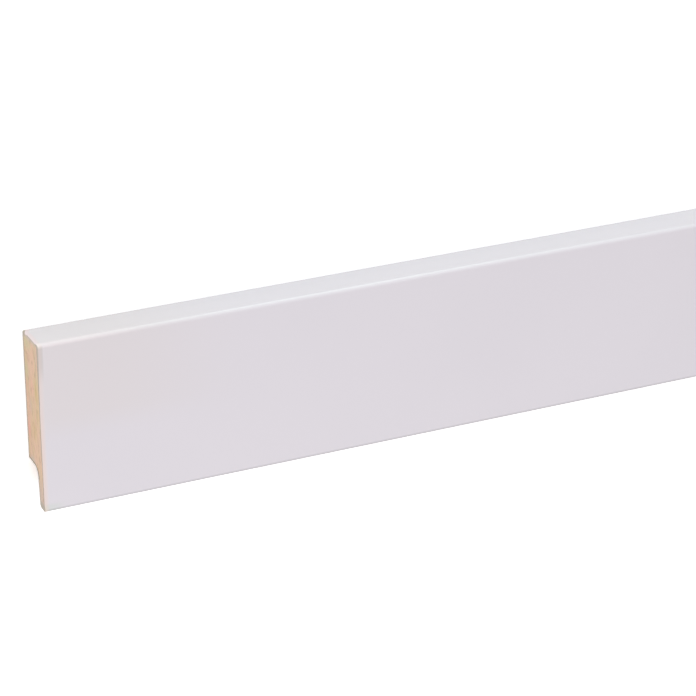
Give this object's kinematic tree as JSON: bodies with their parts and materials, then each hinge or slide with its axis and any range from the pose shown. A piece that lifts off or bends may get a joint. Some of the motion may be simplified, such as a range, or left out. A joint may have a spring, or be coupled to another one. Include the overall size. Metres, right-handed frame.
{
  "type": "skirting board",
  "caption": "Straight square-edged skirting board length with a white foil face, a softly rounded top front edge, sawn ends and a cable rebate behind its foot.",
  "frame": {"origin": "under the middle of the board, in the plane of its flat back, which lies on the floor", "axes": "+X along the length, +Y across the back towards the board's top edge, +Z out of the white front face"},
  "size_m": [2.4, 0.07, 0.016],
  "materials": {
    "foiled_mdf": "satin",
    "white_foil": "satin"
  },
  "bodies": {
    "root": {"skirting_board": "foiled_mdf"}
  },
  "joints": []
}
